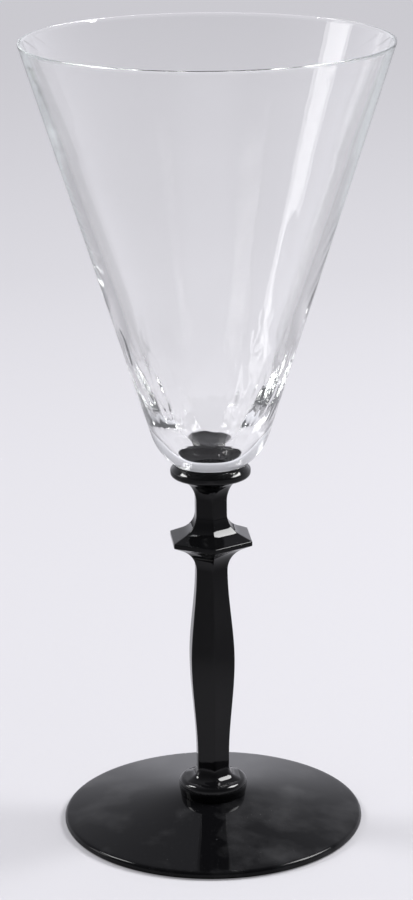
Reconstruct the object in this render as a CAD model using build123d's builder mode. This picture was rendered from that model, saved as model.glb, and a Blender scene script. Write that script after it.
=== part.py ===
from build123d import *
from math import cos, radians, tan
import os

# Water goblet: a clear conical bowl on a black six-sided stem and a black round foot.
# Millimetres, +Z up, origin on the table under the middle of the foot.
# One corner of the six-sided stem points along -Y, the front.

# Foot: a round disc drawn up into a shallow cone, hollow underneath
foot_radius = 38.0
foot_edge = 2.0
foot_height = 7.1
foot_wall = 2.6
rest_ring_width = 2.0
hollow_roof_radius = 9.0

# Lower collar: the ring between the foot and the stem
lower_collar_height = 4.3
lower_collar_seat_radius = 8.3
lower_collar_bulge = 0.55

# Stem: each flat size is the distance from the axis to one of the six sides
stem_sides = 6
base_flat = 6.9
base_slope = 22.0
base_cove_radius = 3.0
lower_neck_flat = 3.97
lower_neck_height = 6.1
belly_flat = 5.45
belly_above_neck = 26.4
upper_neck_flat = 3.9
upper_neck_above_belly = 23.6
flange_under_height = 7.4
flange_under_slope = 28.0
flange_under_cove_radius = 7.0
flange_flat = 9.75
flange_edge = 1.1
flange_over_height = 7.0
flange_over_slope = 26.0
flange_over_cove_radius = 5.5
waist_flat = 3.83
crown_height = 8.65
crown_slope = 22.0
crown_cove_radius = 6.3
crown_flat = 7.9
crown_edge = 0.35

# Upper collar: the ring between the stem and the bowl
upper_collar_height = 3.5
upper_collar_widest_at = 0.9
upper_collar_bulge = 0.7
collar_ledge = 0.2

# Bowl: a straight cone with a rounded heel, and a wall that thickens towards a thick bottom
bowl_height = 104.5
rim_radius = 45.0
bowl_seat_radius = 9.3
heel_radius = 14.65
heel_height = 7.5
lip_wall = 1.3
lower_wall = 2.8
floor_thickness = 4.1
inner_heel_height = 52.5
floor_flat_radius = 6.0

# Heights of the seams and stem sections, from the table up
stem_bottom = foot_height + lower_collar_height
lower_neck_z = stem_bottom + lower_neck_height
belly_z = lower_neck_z + belly_above_neck
upper_neck_z = belly_z + upper_neck_above_belly
flange_bottom = upper_neck_z + flange_under_height
flange_top = flange_bottom + flange_edge
waist_z = flange_top + flange_over_height
crown_bottom = waist_z + crown_height
stem_top = crown_bottom + crown_edge
bowl_bottom = stem_top + upper_collar_height
rim_top = bowl_bottom + bowl_height

# A corner of the stem stands further from the axis than a flat, by this factor
corner_factor = 1 / cos(radians(180 / stem_sides))

# A cove's arc takes up at most this share of the lines that it joins
longest_cove_share = 0.98


def cove(neck_flat, neck_z, edge_flat, edge_z, slope, radius):
    """Outline from a straight neck, round a cove and out along a slope to an edge."""
    rise = 1 if edge_z > neck_z else -1
    corner_z = edge_z - rise * (edge_flat - neck_flat) * tan(radians(slope))
    slope_length = (edge_flat - neck_flat) / cos(radians(slope))
    shorter_leg = min(slope_length, abs(corner_z - neck_z))
    largest_radius = longest_cove_share * shorter_leg / tan(radians((90 - slope) / 2))
    return FilletPolyline(
        (neck_flat, neck_z),
        (neck_flat, corner_z),
        (edge_flat, edge_z),
        radius=min(radius, largest_radius),
    )


os.makedirs("parts", exist_ok=True)

# Foot
rest_ring_outer = foot_radius - foot_edge / 2
rest_ring_inner = rest_ring_outer - rest_ring_width
hollow_height = foot_height - foot_wall

with BuildPart() as foot:
    with BuildSketch(Plane.XZ):
        with BuildLine():
            Polyline(
                (0, hollow_height),
                (hollow_roof_radius, hollow_height),
                (rest_ring_inner, 0),
                (rest_ring_outer, 0),
            )
            ThreePointArc(
                (rest_ring_outer, 0),
                (foot_radius, foot_edge / 2),
                (rest_ring_outer, foot_edge),
            )
            Polyline(
                (rest_ring_outer, foot_edge),
                (lower_collar_seat_radius, foot_height),
                (0, foot_height),
                (0, hollow_height),
            )
        make_face()
    revolve(axis=Axis.Z)
foot.part.label = "foot"

# Lower collar, seated flat on the foot
lower_collar_top_radius = base_flat * corner_factor + collar_ledge
lower_collar_radius = lower_collar_top_radius + lower_collar_bulge

with BuildPart() as lower_collar:
    with BuildSketch(Plane.XZ):
        with BuildLine():
            Line((0, foot_height), (lower_collar_seat_radius, foot_height))
            ThreePointArc(
                (lower_collar_seat_radius, foot_height),
                (lower_collar_radius, (foot_height + stem_bottom) / 2),
                (lower_collar_top_radius, stem_bottom),
            )
            Polyline((lower_collar_top_radius, stem_bottom), (0, stem_bottom), (0, foot_height))
        make_face()
    revolve(axis=Axis.Z)
lower_collar.part.label = "lower_collar"

# Stem: the side outline, drawn from the axis out, is mirrored into a slab as wide as the stem
# between two opposite flats. Slabs turned about the axis leave the six-sided stem where they meet.
slab_depth = 2 * flange_flat

with BuildSketch(Plane.XZ) as stem_outline:
    with BuildLine():
        Line((0, stem_bottom), (base_flat, stem_bottom))
        cove(lower_neck_flat, lower_neck_z, base_flat, stem_bottom, base_slope, base_cove_radius)
        Spline(
            (lower_neck_flat, lower_neck_z),
            (belly_flat, belly_z),
            (upper_neck_flat, upper_neck_z),
            tangents=[(0, 1), (0, 1)],
        )
        cove(
            upper_neck_flat, upper_neck_z, flange_flat, flange_bottom,
            flange_under_slope, flange_under_cove_radius,
        )
        Line((flange_flat, flange_bottom), (flange_flat, flange_top))
        cove(waist_flat, waist_z, flange_flat, flange_top, flange_over_slope, flange_over_cove_radius)
        cove(waist_flat, waist_z, crown_flat, crown_bottom, crown_slope, crown_cove_radius)
        Polyline((crown_flat, crown_bottom), (crown_flat, stem_top), (0, stem_top), (0, stem_bottom))
    make_face()
    mirror(about=Plane.YZ)

with BuildPart() as stem:
    extrude(stem_outline.sketch, amount=slab_depth, both=True)
    for turn in range(1, stem_sides // 2):
        slab = stem_outline.sketch.rotate(Axis.Z, turn * 360 / stem_sides)
        extrude(slab, amount=slab_depth, both=True, mode=Mode.INTERSECT)
stem.part.label = "stem"

# Upper collar, seated flat on the stem's crown
upper_collar_foot_radius = crown_flat * corner_factor + collar_ledge
upper_collar_radius = bowl_seat_radius + upper_collar_bulge
upper_collar_widest_z = stem_top + upper_collar_widest_at

with BuildPart() as upper_collar:
    with BuildSketch(Plane.XZ):
        with BuildLine():
            Line((0, stem_top), (upper_collar_foot_radius, stem_top))
            TangentArc(
                (upper_collar_radius, upper_collar_widest_z),
                (upper_collar_foot_radius, stem_top),
                tangent=(0, -1),
            )
            TangentArc(
                (upper_collar_radius, upper_collar_widest_z),
                (bowl_seat_radius, bowl_bottom),
                tangent=(0, 1),
            )
            Polyline((bowl_seat_radius, bowl_bottom), (0, bowl_bottom), (0, stem_top))
        make_face()
    revolve(axis=Axis.Z)
upper_collar.part.label = "upper_collar"

# Bowl, seated flat on the upper collar
lip_z = rim_top - lip_wall / 2
heel_z = bowl_bottom + heel_height
inner_heel_z = bowl_bottom + inner_heel_height
flare = (rim_radius - heel_radius) / (lip_z - heel_z)
inner_heel_radius = heel_radius + flare * (inner_heel_z - heel_z) - lower_wall
inner_lip_radius = rim_radius - lip_wall
inner_flare = (inner_lip_radius - inner_heel_radius) / (lip_z - inner_heel_z)
floor_z = bowl_bottom + floor_thickness

# The wall's own line would meet the level of the floor at this distance from the axis
floor_corner_radius = inner_heel_radius - inner_flare * (inner_heel_z - floor_z)

with BuildPart() as bowl:
    with BuildSketch(Plane.XZ):
        with BuildLine():
            Line((0, bowl_bottom), (bowl_seat_radius, bowl_bottom))
            TangentArc(
                (heel_radius, heel_z),
                (bowl_seat_radius, bowl_bottom),
                tangent=(-flare, -1),
            )
            Line((heel_radius, heel_z), (rim_radius, lip_z))
            ThreePointArc(
                (rim_radius, lip_z),
                (rim_radius - lip_wall / 2, rim_top),
                (inner_lip_radius, lip_z),
            )
            Line((inner_lip_radius, lip_z), (inner_heel_radius, inner_heel_z))
            Bezier(
                (inner_heel_radius, inner_heel_z),
                (floor_corner_radius, floor_z),
                (floor_flat_radius, floor_z),
                (0, floor_z),
            )
            Line((0, floor_z), (0, bowl_bottom))
        make_face()
    revolve(axis=Axis.Z)
bowl.part.label = "bowl"

for piece in (foot, lower_collar, stem, upper_collar, bowl):
    export_step(piece.part, f"parts/{piece.part.label}.step")
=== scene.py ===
import math

import bmesh
import bpy
from mathutils import Matrix, Vector, noise


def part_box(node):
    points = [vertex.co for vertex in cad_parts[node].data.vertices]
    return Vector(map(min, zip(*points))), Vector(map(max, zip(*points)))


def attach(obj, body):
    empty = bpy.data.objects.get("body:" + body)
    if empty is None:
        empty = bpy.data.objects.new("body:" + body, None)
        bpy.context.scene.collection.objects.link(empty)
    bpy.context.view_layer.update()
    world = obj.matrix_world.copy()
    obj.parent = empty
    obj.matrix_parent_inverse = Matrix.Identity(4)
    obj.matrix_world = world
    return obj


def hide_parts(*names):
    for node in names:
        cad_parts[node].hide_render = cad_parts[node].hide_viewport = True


# Looks of the water goblet: a clear blown bowl on a black pressed stem and a black foot.
# Metres, in the frame's own axes: +Z up, origin on the table under the middle of the foot.

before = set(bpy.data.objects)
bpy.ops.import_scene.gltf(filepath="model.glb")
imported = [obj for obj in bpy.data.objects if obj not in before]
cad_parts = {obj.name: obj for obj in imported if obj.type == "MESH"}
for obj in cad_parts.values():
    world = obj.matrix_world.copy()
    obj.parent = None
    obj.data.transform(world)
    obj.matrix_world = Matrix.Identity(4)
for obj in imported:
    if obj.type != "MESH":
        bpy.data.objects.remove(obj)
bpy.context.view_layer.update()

MM = 0.001

# Sizes read from the frame
foot_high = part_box("foot")[1]
lower_collar_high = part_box("lower_collar")[1]
stem_low, stem_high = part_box("stem")
upper_collar_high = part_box("upper_collar")[1]
bowl_low, bowl_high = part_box("bowl")

foot_radius = foot_high.x
foot_top = foot_high.z
lower_collar_radius = lower_collar_high.x
stem_bottom = stem_low.z
stem_top = stem_high.z
flange_flat = stem_high.x
upper_collar_radius = upper_collar_high.x
bowl_bottom = bowl_low.z
rim_radius = bowl_high.x
rim_top = bowl_high.z

# Foot
foot_edge = 2.0 * MM
foot_wall = 2.6 * MM
rest_ring_width = 2.0 * MM
hollow_roof_radius = 9.0 * MM
hollow_roof_round = 4.0 * MM

# Lower collar
lower_collar_seat_radius = 8.3 * MM
lower_collar_round = 3.9 * MM
lower_collar_shoulder = 8.55 * MM
lower_collar_shoulder_round = 1.3 * MM

# Upper collar: widest low down, with a round brow and a short neck under the bowl
upper_collar_widest_at = 0.9 * MM
upper_collar_brow = 0.8 * MM
upper_collar_top_radius = 8.95 * MM
upper_collar_neck = 0.7 * MM
collar_ledge = 0.2 * MM
seam_overlap = 0.04 * MM

# Stem: each flat size is the distance from the axis to one of the six sides, and slopes are in degrees
stem_sides = 6
base_flat = 6.9 * MM
base_slope = 22.0
base_cove_radius = 3.0 * MM
lower_neck_flat = 3.97 * MM
lower_neck_height = 6.1 * MM
belly_flat = 5.45 * MM
belly_above_neck = 26.4 * MM
upper_neck_flat = 3.9 * MM
upper_neck_above_belly = 23.6 * MM
flange_under_height = 7.4 * MM
flange_under_slope = 28.0
flange_under_cove_radius = 7.0 * MM
flange_edge = 1.1 * MM
flange_over_height = 7.0 * MM
flange_over_slope = 26.0
flange_over_cove_radius = 5.5 * MM
waist_flat = 3.83 * MM
crown_height = 8.65 * MM
crown_slope = 22.0
crown_cove_radius = 6.3 * MM
crown_flat = 7.9 * MM

# Heights of the stem's sections
lower_neck_z = stem_bottom + lower_neck_height
belly_z = lower_neck_z + belly_above_neck
upper_neck_z = belly_z + upper_neck_above_belly
flange_bottom = upper_neck_z + flange_under_height
flange_top = flange_bottom + flange_edge
waist_z = flange_top + flange_over_height
crown_bottom = waist_z + crown_height

# A corner of the stem stands further from the axis than a flat, by this factor
corner_factor = 1 / math.cos(math.radians(180 / stem_sides))

# Softness that heat leaves on the edges of the black glass: the stem's ridges melt away towards both ends
edge_radius = 0.25 * MM
base_edge_radius = 0.03 * MM
ridge_radius = 0.35 * MM
base_ridge_radius = 2.2 * MM
crown_ridge_radius = 5.5 * MM
ridge_melt = 3.0 * MM
largest_ridge_share = 0.8

# Bowl: a wall that tapers towards a thin lip, which is rounded on top and bevelled inside
bowl_seat_radius = 9.3 * MM
heel_radius = 14.65 * MM
heel_height = 7.5 * MM
lower_wall = 2.8 * MM
floor_thickness = 3.95 * MM
floor_flat_radius = 7.15 * MM
inner_heel_height = 52.5 * MM
lip_wall = 1.3 * MM
lip_thin = 0.62 * MM
lip_taper = 25.0 * MM
lip_taper_round = 200.0 * MM
lip_top = 0.5 * MM
lip_round = 0.23 * MM
lip_bevel = 0.75 * MM
lip_bevel_round = 0.5 * MM

# Unevenness of the blown inside: a thinner band low down, and ripples that are strongest in that band
# and fade out near the axis and the rim
thin_band = 0.80 * MM
thin_band_height = 23.8 * MM
thin_band_lean = 2.2 * MM
thin_band_spread = 9.5 * MM
low_ripple = 0.35 * MM
low_ripple_height = 24 * MM
low_ripple_spread = 9 * MM
faint_ripple = 0.003 * MM
ripple_turns = 4.5
ripple_length = 12 * MM
ripple_shift = 3.3
fine_ripple = 0.5
fine_ripple_scale = 2.7
smooth_core = 9 * MM
smooth_rim = 14 * MM

# A dent, pressed outwards into the wall at the back right, half way up
dent_depth = 0.48 * MM
dent_turn = math.radians(41)
dent_height = 48 * MM
dent_width = 3.2 * MM
dent_length = 12 * MM

# Fineness of the meshes: sides of the round pieces, steps along curves, and the longest step of an outline
bowl_sides = 256
foot_sides = 256
collar_sides = 192
stem_arc_steps = 10
lip_arc_steps = 12
belly_steps = 40
hollow_steps = 64
bowl_step = 0.8 * MM
ring_step = 1.0 * MM
stem_step = 0.6 * MM

# Points of an outline that are closer than this are one point
same_point = 1e-7

# A corner's arc takes up at most this share of the lines that it joins
longest_arc_share = 0.98

# A curve's pull is this many times the arm to its control point
pull_per_arm = 3

# Clear glass: faint rough marks, gentle waves, and a trace of green where it is thick
clear_index = 1.51
mark_size = 9 * MM
mark_detail = 6.0
mark_range = (0.55, 0.75)
mark_roughness = 0.008
clear_wave_size = 7 * MM
clear_wave_depth = 0.0015 * MM
wave_detail = 1.0
clear_tint = (0.80, 0.87, 0.82, 1.0)
clear_tint_density = 2.5

# Black glass: pale smears and dust over black, with the polish uneven where the smears are
black_index = 1.5
black_colour = (0.003, 0.003, 0.0035, 1.0)
haze_blue = 1.05
smear_size = 12 * MM
smear_detail = 9.0
smear_range = (0.50, 0.75)
smear_strength = 0.6
dust_size = 0.6 * MM
dust_detail = 3.0
dust_range = (0.68, 0.80)
dust_strength = 0.8
polish_range = (0.35, 0.70)
polish_roughness = (0.04, 0.09)

# Floor: pale in a wedge that opens from a point in front of the goblet, and darker to both sides of the
# wedge's edge. Its own brightness grows a little towards the back.
floor_size = 6.0
floor_colour = (0.403, 0.398, 0.420, 1.0)
floor_glow_colour = (0.985, 0.975, 1.02, 1.0)
floor_glow = 0.195
far_glow = 0.40
far_floor = (0.6, 1.6)
side_dimming = 0.62
wedge_length = 0.68
wedge_edge = (0.085, 0.19)

# Room: brightness of the wall behind from the horizon (0) to straight up (1), and the share of it in front
room_levels = [(0.0, 1.0), (0.10, 0.93), (0.26, 0.71), (0.36, 0.60), (0.64, 0.41), (1.0, 0.38)]
room_front = 0.25
room_depth = (-0.6, 0.6)
room_blue = 1.08

# Lamps
lamp_distance = 1.2

# Camera, solved from the ellipses of the rim and the foot. It stands a little to one side of the stem's
# front ridge, by the stem's turn.
camera_distance = 677.7 * MM
camera_height = 305.0 * MM
camera_pitch = math.radians(16.95)
camera_yaw = math.radians(-0.079)
camera_roll = math.radians(-0.499)
camera_lens = 114.67
stem_turn = math.radians(5.7)

# The bowl's wall carries light up to the lip, with many bounces inside the glass
light_bounces = 80


# Outlines: lists of (distance from the axis, height) points

def rounded(corners, arc_steps=8):
    """A line through (x, z, radius) corners with each corner rounded by its radius."""
    points = [Vector(corners[0][:2])]
    for before, corner, after in zip(corners, corners[1:], corners[2:]):
        point = Vector(corner[:2])
        back = Vector(before[:2]) - point
        ahead = Vector(after[:2]) - point
        half_angle = back.angle(ahead) / 2
        longest_reach = longest_arc_share * min(back.length, ahead.length)
        reach = min(corner[2] / math.tan(half_angle), longest_reach)
        radius = reach * math.tan(half_angle)
        middle = (back.normalized() + ahead.normalized()).normalized()
        centre = point + middle * radius / math.sin(half_angle)
        start = point + back.normalized() * reach - centre
        end = point + ahead.normalized() * reach - centre
        turn = start.angle_signed(end)
        for step in range(arc_steps + 1):
            arm = start.copy()
            arm.rotate(Matrix.Rotation(-turn * step / arc_steps, 2))
            points.append(centre + arm)
    points.append(Vector(corners[-1][:2]))
    return [(point.x, point.y) for point in points]


def tangent_arc(start, end, tangent, arc_steps=24):
    """An arc from start to end that leaves start along the tangent."""
    start = Vector(start)
    chord = Vector(end) - start
    side = Vector((-tangent[1], tangent[0])).normalized()
    radius = chord.length_squared / (2 * chord.dot(side))
    centre = start + side * radius
    turn = 2 * math.asin(chord.length / (2 * abs(radius))) * math.copysign(1, radius)
    points = []
    for step in range(arc_steps + 1):
        arm = start - centre
        arm.rotate(Matrix.Rotation(turn * step / arc_steps, 2))
        points.append(tuple(centre + arm))
    return points


def curve(start, start_pull, end, end_pull, steps):
    """A smooth curve between two points; the pulls set its direction and strength at the ends."""
    points = []
    for step in range(steps + 1):
        t = step / steps
        weights = (2*t**3 - 3*t**2 + 1, t**3 - 2*t**2 + t, 3*t**2 - 2*t**3, t**3 - t**2)
        points.append(tuple(
            weights[0] * start[k] + weights[1] * start_pull[k]
            + weights[2] * end[k] + weights[3] * end_pull[k]
            for k in range(2)
        ))
    return points


def refined(points, longest):
    """The same line with no step longer than the given length and no point twice."""
    fine = [points[0]]
    for point in points[1:]:
        last = Vector(fine[-1])
        gap = Vector(point) - last
        if gap.length < same_point:
            continue
        count = math.ceil(gap.length / longest)
        fine.extend(tuple(last + gap * step / count) for step in range(1, count + 1))
    return fine


# Meshes

def closed_mesh(name, rings, bottom, top):
    """A closed smooth mesh: rings of points skinned in order and closed at two points."""
    count = len(rings[0])
    points = [bottom] + [point for ring in rings for point in ring] + [top]
    last = len(points) - 1
    crown = 1 + (len(rings) - 1) * count
    faces = []
    for side in range(count):
        following = (side + 1) % count
        faces.append((0, 1 + following, 1 + side))
        for level in range(len(rings) - 1):
            low = 1 + level * count
            high = low + count
            faces.append((low + side, low + following, high + following, high + side))
        faces.append((crown + side, crown + following, last))
    mesh = bpy.data.meshes.new(name)
    mesh.from_pydata(points, [], faces)
    solid = bmesh.new()
    solid.from_mesh(mesh)
    bmesh.ops.recalc_face_normals(solid, faces=solid.faces)
    solid.to_mesh(mesh)
    solid.free()
    mesh.shade_smooth()
    piece = bpy.data.objects.new(name, mesh)
    bpy.context.scene.collection.objects.link(piece)
    return piece


def unchanged(radius, height, angle):
    """The shape of a true round piece."""
    return radius, height


def round_rings(outline, sides, shape=unchanged):
    """One ring of points for each point of an outline."""
    rings = []
    for radius, height in outline:
        ring = []
        for side in range(sides):
            angle = 2 * math.pi * side / sides
            r, z = shape(radius, height, angle)
            ring.append((r * math.cos(angle), r * math.sin(angle), z))
        rings.append(ring)
    return rings


def turned(name, outline, sides):
    """A round piece from an outline that starts and ends on the axis."""
    rings = round_rings(outline[1:-1], sides)
    return closed_mesh(name, rings, (0, 0, outline[0][1]), (0, 0, outline[-1][1]))


def swell(distance, spread):
    """A smooth hump: 1 at no distance, and next to nothing beyond twice the spread."""
    return math.exp(-(distance / spread) ** 2)


# Foot

def foot_outline():
    rest_ring_inner = foot_radius - foot_edge / 2 - rest_ring_width
    hollow_height = foot_top - foot_wall
    return rounded([
        (0, hollow_height, 0),
        (hollow_roof_radius, hollow_height, hollow_roof_round),
        (rest_ring_inner, 0, edge_radius),
        (foot_radius, 0, foot_edge / 2),
        (foot_radius, foot_edge, foot_edge / 2),
        (lower_collar_seat_radius, foot_top, edge_radius),
        (0, foot_top, 0),
    ])


# Collars

def lower_collar_outline():
    return rounded([
        (0, foot_top, 0),
        (lower_collar_seat_radius, foot_top, edge_radius),
        (lower_collar_radius, (foot_top + stem_bottom) / 2, lower_collar_round),
        (lower_collar_shoulder, stem_bottom, lower_collar_shoulder_round),
        (0, stem_bottom, 0),
    ])


def upper_collar_outline():
    foot_ring = crown_flat * corner_factor + collar_ledge
    widest_z = stem_top + upper_collar_widest_at
    top = bowl_bottom + seam_overlap
    lower = tangent_arc((upper_collar_radius, widest_z), (foot_ring, stem_top), (0, -1))
    upper = rounded([
        (upper_collar_radius, widest_z, 0),
        (upper_collar_radius, widest_z + upper_collar_brow, upper_collar_brow),
        (upper_collar_top_radius, bowl_bottom - upper_collar_neck, edge_radius),
        (upper_collar_top_radius, top, 0),
    ])
    return [(0, stem_top)] + lower[::-1] + upper + [(0, top)]


# Stem

def cove_corner(neck_flat, neck_z, edge_flat, edge_z, slope):
    """The point where a straight neck meets the slope that runs out to an edge."""
    rise = 1 if edge_z > neck_z else -1
    return neck_flat, edge_z - rise * (edge_flat - neck_flat) * math.tan(math.radians(slope))


def stem_outline():
    base = cove_corner(lower_neck_flat, lower_neck_z, base_flat, stem_bottom, base_slope)
    under = cove_corner(upper_neck_flat, upper_neck_z, flange_flat, flange_bottom, flange_under_slope)
    over = cove_corner(waist_flat, waist_z, flange_flat, flange_top, flange_over_slope)
    crown = cove_corner(waist_flat, waist_z, crown_flat, crown_bottom, crown_slope)
    base_flare = rounded([
        (0, stem_bottom, 0),
        (base_flat, stem_bottom, base_edge_radius),
        (*base, base_cove_radius),
        (lower_neck_flat, lower_neck_z, 0),
    ], stem_arc_steps)
    low_half = curve(
        (lower_neck_flat, lower_neck_z), (0, belly_above_neck),
        (belly_flat, belly_z), (0, belly_above_neck), belly_steps,
    )
    high_half = curve(
        (belly_flat, belly_z), (0, upper_neck_above_belly),
        (upper_neck_flat, upper_neck_z), (0, upper_neck_above_belly), belly_steps,
    )
    knop = rounded([
        (upper_neck_flat, upper_neck_z, 0),
        (*under, flange_under_cove_radius),
        (flange_flat, flange_bottom, edge_radius),
        (flange_flat, flange_top, edge_radius),
        (*over, flange_over_cove_radius),
        (waist_flat, waist_z, 0),
    ], stem_arc_steps)
    crown_flare = rounded([
        (waist_flat, waist_z, 0),
        (*crown, crown_cove_radius),
        (crown_flat, crown_bottom, edge_radius),
        (crown_flat, stem_top, edge_radius),
        (0, stem_top, 0),
    ], stem_arc_steps)
    return base_flare + low_half + high_half + knop + crown_flare


def sided_ring(flat, height, side_steps=6, ridge_steps=6):
    """One level of the six-sided stem, with rounded ridges and one ridge at the front."""
    melt = (
        ridge_radius
        + base_ridge_radius * swell(height - stem_bottom, ridge_melt)
        + crown_ridge_radius * swell(height - stem_top, ridge_melt)
    )
    radius = min(melt, largest_ridge_share * flat)
    half = math.pi / stem_sides
    ridges = []
    for side in range(stem_sides):
        corner_angle = -math.pi / 2 + 2 * half * side
        corner = Vector((math.cos(corner_angle), math.sin(corner_angle)))
        centre = corner * (flat - radius) / math.cos(half)
        ridge = []
        for step in range(ridge_steps + 1):
            angle = corner_angle + half * (2 * step / ridge_steps - 1)
            ridge.append(centre + Vector((math.cos(angle), math.sin(angle))) * radius)
        ridges.append(ridge)
    ring = []
    for ridge, following in zip(ridges, ridges[1:] + ridges[:1]):
        ring.extend(ridge)
        for step in range(1, side_steps):
            ring.append(ridge[-1].lerp(following[0], step / side_steps))
    return [(point.x, point.y, height) for point in ring]


def sided_stem(name):
    levels = refined(stem_outline(), stem_step)
    rings = [sided_ring(flat, height) for flat, height in levels[1:-1]]
    return closed_mesh(name, rings, (0, 0, stem_bottom), (0, 0, stem_top))


# Bowl

def bowl_outlines():
    """Outside of the bowl with its lip, and the inside from there down to the floor."""
    lip_z = rim_top - lip_wall / 2
    heel_z = bowl_bottom + heel_height
    flare = (rim_radius - heel_radius) / (lip_z - heel_z)
    inner_heel_z = bowl_bottom + inner_heel_height
    inner_heel_radius = heel_radius + flare * (inner_heel_z - heel_z) - lower_wall
    floor_z = bowl_bottom + floor_thickness
    inner_lip_radius = rim_radius - lip_wall
    inner_flare = (inner_lip_radius - inner_heel_radius) / (lip_z - inner_heel_z)
    outer_top = rim_radius + lip_round * (flare + math.hypot(1, flare) - 1)
    bevel_z = rim_top - lip_bevel
    bevel_radius = outer_top - flare * lip_bevel
    taper_z = rim_top - lip_taper
    taper_radius = inner_lip_radius + inner_flare * (taper_z - lip_z)
    heel = tangent_arc((heel_radius, heel_z), (bowl_seat_radius, bowl_bottom), (-flare, -1))
    lip = rounded([
        (bevel_radius, bevel_z, 0),
        (outer_top, rim_top, lip_round),
        (outer_top - lip_top, rim_top, lip_round),
        (bevel_radius - lip_thin, bevel_z, lip_bevel_round),
        (taper_radius, taper_z, lip_taper_round),
        (taper_radius - inner_flare * lip_taper, taper_z - lip_taper, 0),
    ], lip_arc_steps)
    wall_pull = pull_per_arm * (inner_heel_z - floor_z)
    floor_pull = pull_per_arm * floor_flat_radius
    hollow = curve(
        (inner_heel_radius, inner_heel_z), (-inner_flare * wall_pull, -wall_pull),
        (0, floor_z), (-floor_pull, 0), hollow_steps,
    )
    return [(0, bowl_bottom)] + heel[::-1] + lip, [lip[-1]] + hollow


def dented(radius, height, angle):
    """The wall with its dent at the back right."""
    across = (angle - dent_turn) * radius
    along = height - bowl_bottom - dent_height
    return radius + dent_depth * swell(across, dent_width) * swell(along, dent_length), height


def rippled(radius, height, angle):
    """The inside of the bowl as blown: thinner in a low band, and nowhere quite round."""
    level = height - bowl_bottom
    lean = thin_band_lean * math.cos(angle)
    thinning = thin_band * swell(level - thin_band_height - lean, thin_band_spread - lean)
    strength = faint_ripple + low_ripple * swell(level - low_ripple_height, low_ripple_spread)
    place = Vector((
        ripple_turns * math.cos(angle),
        ripple_turns * math.sin(angle),
        height / ripple_length + ripple_shift,
    ))
    wave = noise.noise(place) + fine_ripple * noise.noise(fine_ripple_scale * place)
    fade = min(radius / smooth_core, (rim_top - height) / smooth_rim, 1)
    return dented(radius + fade * (thinning + strength * wave), height, angle)


def blown_bowl(name):
    outside, inside = bowl_outlines()
    outside = refined(outside, bowl_step)
    inside = refined(inside, bowl_step)
    rings = round_rings(outside[1:], bowl_sides, dented) + round_rings(inside[1:-1], bowl_sides, rippled)
    return closed_mesh(name, rings, (0, 0, outside[0][1]), (0, 0, inside[-1][1]))


# Nodes that the materials share

def new_material(name):
    """A new material, with its nodes and its main shader."""
    material = bpy.data.materials.new(name)
    material.use_nodes = True
    tree = material.node_tree
    return material, tree, tree.nodes["Principled BSDF"]


def noise_field(tree, size, detail):
    """Soft noise, from 0 to 1, with spots of about the given size on the piece."""
    place = tree.nodes.new("ShaderNodeTexCoord")
    field = tree.nodes.new("ShaderNodeTexNoise")
    field.inputs["Scale"].default_value = 1 / size
    field.inputs["Detail"].default_value = detail
    tree.links.new(place.outputs["Object"], field.inputs["Vector"])
    return field.outputs["Fac"]


def mapped(tree, value, source, target):
    """A value carried from the source range to the target range, and held at its ends."""
    node = tree.nodes.new("ShaderNodeMapRange")
    node.inputs["From Min"].default_value, node.inputs["From Max"].default_value = source
    node.inputs["To Min"].default_value, node.inputs["To Max"].default_value = target
    tree.links.new(value, node.inputs["Value"])
    return node.outputs["Result"]


def calculated(tree, operation, *values):
    """The result of one operation on values, each of them a plain number or another node's result."""
    node = tree.nodes.new("ShaderNodeMath")
    node.operation = operation
    for value, socket in zip(values, node.inputs):
        if isinstance(value, float):
            socket.default_value = value
        else:
            tree.links.new(value, socket)
    return node.outputs["Value"]


def blended(tree, share, first, second):
    """A colour that turns from the first into the second as the share grows from 0 to 1."""
    node = tree.nodes.new("ShaderNodeMix")
    node.data_type = "RGBA"
    node.inputs["A"].default_value = first
    node.inputs["B"].default_value = second
    tree.links.new(share, node.inputs["Factor"])
    return node.outputs["Result"]


def waviness(tree, shader, size, depth):
    """Gentle waves of the surface, of the given size and depth."""
    bump = tree.nodes.new("ShaderNodeBump")
    bump.inputs["Distance"].default_value = depth
    tree.links.new(noise_field(tree, size, wave_detail), bump.inputs["Height"])
    tree.links.new(bump.outputs["Normal"], shader.inputs["Normal"])


# Materials

def clear_glass():
    material, tree, shader = new_material("clear_glass")
    shader.inputs["Base Color"].default_value = (1.0, 1.0, 1.0, 1.0)
    shader.inputs["IOR"].default_value = clear_index
    shader.inputs["Transmission Weight"].default_value = 1.0
    marks = noise_field(tree, mark_size, mark_detail)
    tree.links.new(mapped(tree, marks, mark_range, (0.0, mark_roughness)), shader.inputs["Roughness"])
    waviness(tree, shader, clear_wave_size, clear_wave_depth)
    absorption = tree.nodes.new("ShaderNodeVolumeAbsorption")
    absorption.inputs["Color"].default_value = clear_tint
    absorption.inputs["Density"].default_value = clear_tint_density
    tree.links.new(absorption.outputs["Volume"], tree.nodes["Material Output"].inputs["Volume"])
    return material


def black_glass(name, gloss, haze, wave_size, wave_depth):
    """Black pressed glass. The haze is how pale its smears and dust are."""
    material, tree, shader = new_material(name)
    shader.inputs["IOR"].default_value = black_index
    shader.inputs["Specular IOR Level"].default_value = gloss
    smears = noise_field(tree, smear_size, smear_detail)
    dust = noise_field(tree, dust_size, dust_detail)
    smeared = mapped(tree, smears, smear_range, (0.0, smear_strength))
    dusted = mapped(tree, dust, dust_range, (0.0, dust_strength))
    pale = calculated(tree, "MAXIMUM", smeared, dusted)
    haze_colour = (haze, haze, haze_blue * haze, 1.0)
    tree.links.new(blended(tree, pale, black_colour, haze_colour), shader.inputs["Base Color"])
    tree.links.new(mapped(tree, smears, polish_range, polish_roughness), shader.inputs["Roughness"])
    waviness(tree, shader, wave_size, wave_depth)
    return material


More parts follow.
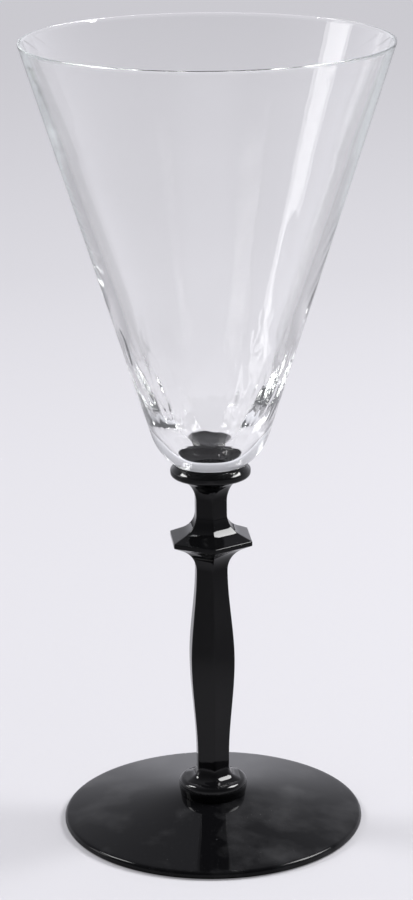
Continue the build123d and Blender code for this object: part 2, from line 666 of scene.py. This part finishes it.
def pale_floor():
    """Pale floor that takes the goblet's shadow. Where the camera looks at it, straight or through the
    clear glass, it also has some brightness of its own."""
    material, tree, shader = new_material("pale_floor")
    nodes = tree.nodes
    links = tree.links
    nodes.remove(shader)
    place = nodes.new("ShaderNodeTexCoord")
    axes = nodes.new("ShaderNodeSeparateXYZ")
    links.new(place.outputs["Object"], axes.inputs["Vector"])
    aside = calculated(tree, "ABSOLUTE", axes.outputs["X"])
    ahead = calculated(tree, "ADD", axes.outputs["Y"], wedge_length)
    spread = calculated(tree, "DIVIDE", aside, ahead)
    dimming = mapped(tree, spread, wedge_edge, (1.0, side_dimming))
    diffuse = nodes.new("ShaderNodeBsdfDiffuse")
    links.new(blended(tree, dimming, (0.0, 0.0, 0.0, 1.0), floor_colour), diffuse.inputs["Color"])
    path = nodes.new("ShaderNodeLightPath")
    seen = calculated(tree, "MAXIMUM", path.outputs["Is Camera Ray"], path.outputs["Is Transmission Ray"])
    brightness = mapped(tree, axes.outputs["Y"], far_floor, (floor_glow, far_glow))
    level = calculated(tree, "MULTIPLY", calculated(tree, "MULTIPLY", seen, brightness), dimming)
    glow = nodes.new("ShaderNodeEmission")
    glow.inputs["Color"].default_value = floor_glow_colour
    links.new(level, glow.inputs["Strength"])
    both = nodes.new("ShaderNodeAddShader")
    links.new(diffuse.outputs["BSDF"], both.inputs[0])
    links.new(glow.outputs["Emission"], both.inputs[1])
    links.new(both.outputs["Shader"], nodes["Material Output"].inputs["Surface"])
    return material


# Pieces

def dress(piece, node, material):
    """Gives a piece its material, and puts it in the place of a node of the frame."""
    piece.data.materials.append(material)
    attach(piece, "root")
    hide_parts(node)


clear = clear_glass()
black = black_glass("black_glass", gloss=0.28, haze=0.005, wave_size=5 * MM, wave_depth=0.010 * MM)
lumpy = black_glass("lumpy_black_glass", gloss=0.35, haze=0.004, wave_size=3 * MM, wave_depth=0.050 * MM)
dusty = black_glass("dusty_black_glass", gloss=0.15, haze=0.040, wave_size=5 * MM, wave_depth=0.008 * MM)

foot = turned("foot_disc", refined(foot_outline(), ring_step), foot_sides)
dress(foot, "foot", dusty)

lower_collar = turned("lower_collar_ring", refined(lower_collar_outline(), ring_step), collar_sides)
dress(lower_collar, "lower_collar", lumpy)

stem = sided_stem("stem_baluster")
dress(stem, "stem", black)

upper_collar = turned("upper_collar_ring", refined(upper_collar_outline(), ring_step), collar_sides)
dress(upper_collar, "upper_collar", lumpy)

bowl = blown_bowl("bowl_cone")
dress(bowl, "bowl", clear)


# Stage: the floor, square to the camera
bpy.ops.mesh.primitive_plane_add(size=floor_size)
floor = bpy.context.object
floor.name = "floor"
floor.rotation_euler.z = -stem_turn
floor.data.materials.append(pale_floor())


# Light

def softbox(name, turn, rise, width, height, radiance):
    """A rectangular lamp that faces the goblet. Its turn, in degrees, is to the right of the camera."""
    heading = math.radians(turn) - stem_turn
    lift = math.radians(rise)
    away = Vector((
        math.sin(heading) * math.cos(lift),
        -math.cos(heading) * math.cos(lift),
        math.sin(lift),
    ))
    lamp = bpy.data.lights.new(name, "AREA")
    lamp.shape = "RECTANGLE"
    lamp.size = width
    lamp.size_y = height
    lamp.energy = radiance * math.pi * width * height
    holder = bpy.data.objects.new(name, lamp)
    aim = Vector((0, 0, (foot_top + rim_top) / 2))
    holder.location = aim + away * lamp_distance
    holder.rotation_euler = away.to_track_quat("Z", "Y").to_euler()
    holder.visible_camera = False
    bpy.context.scene.collection.objects.link(holder)


def studio_world():
    """Dim room: a pale wall behind the goblet that fades upwards, and little light from the front."""
    world = bpy.data.worlds.new("studio")
    world.use_nodes = True
    tree = world.node_tree
    direction = tree.nodes.new("ShaderNodeTexCoord")
    axes = tree.nodes.new("ShaderNodeSeparateXYZ")
    tree.links.new(direction.outputs["Generated"], axes.inputs["Vector"])
    rise = tree.nodes.new("ShaderNodeValToRGB")
    for position, _ in room_levels[2:]:
        rise.color_ramp.elements.new(position)
    for element, (position, level) in zip(rise.color_ramp.elements, room_levels):
        element.position = position
        element.color = (level, level, room_blue * level, 1.0)
    tree.links.new(axes.outputs["Z"], rise.inputs["Fac"])
    depth = mapped(tree, axes.outputs["Y"], room_depth, (room_front, 1.0))
    background = tree.nodes["Background"]
    tree.links.new(rise.outputs["Color"], background.inputs["Color"])
    tree.links.new(depth, background.inputs["Strength"])
    bpy.context.scene.world = world


softbox("left_softbox", turn=-97, rise=17, width=0.38, height=0.46, radiance=2.8)
softbox("right_softbox", turn=102, rise=47, width=0.60, height=0.46, radiance=22)
softbox("left_high_softbox", turn=-104, rise=45, width=0.30, height=0.40, radiance=22)
studio_world()


# Camera
camera_data = bpy.data.cameras.new("camera")
camera_data.lens = camera_lens
camera = bpy.data.objects.new("camera", camera_data)
camera.matrix_world = (
    Matrix.Translation((
        -camera_distance * math.sin(stem_turn),
        -camera_distance * math.cos(stem_turn),
        camera_height,
    ))
    @ Matrix.Rotation(-camera_yaw - stem_turn, 4, "Z")
    @ Matrix.Rotation(math.pi / 2 - camera_pitch, 4, "X")
    @ Matrix.Rotation(camera_roll, 4, "Z")
)
scene = bpy.context.scene
scene.collection.objects.link(camera)
scene.camera = camera
scene.view_settings.view_transform = "Standard"
scene.cycles.max_bounces = light_bounces
scene.cycles.transmission_bounces = light_bounces
scene.cycles.glossy_bounces = light_bounces
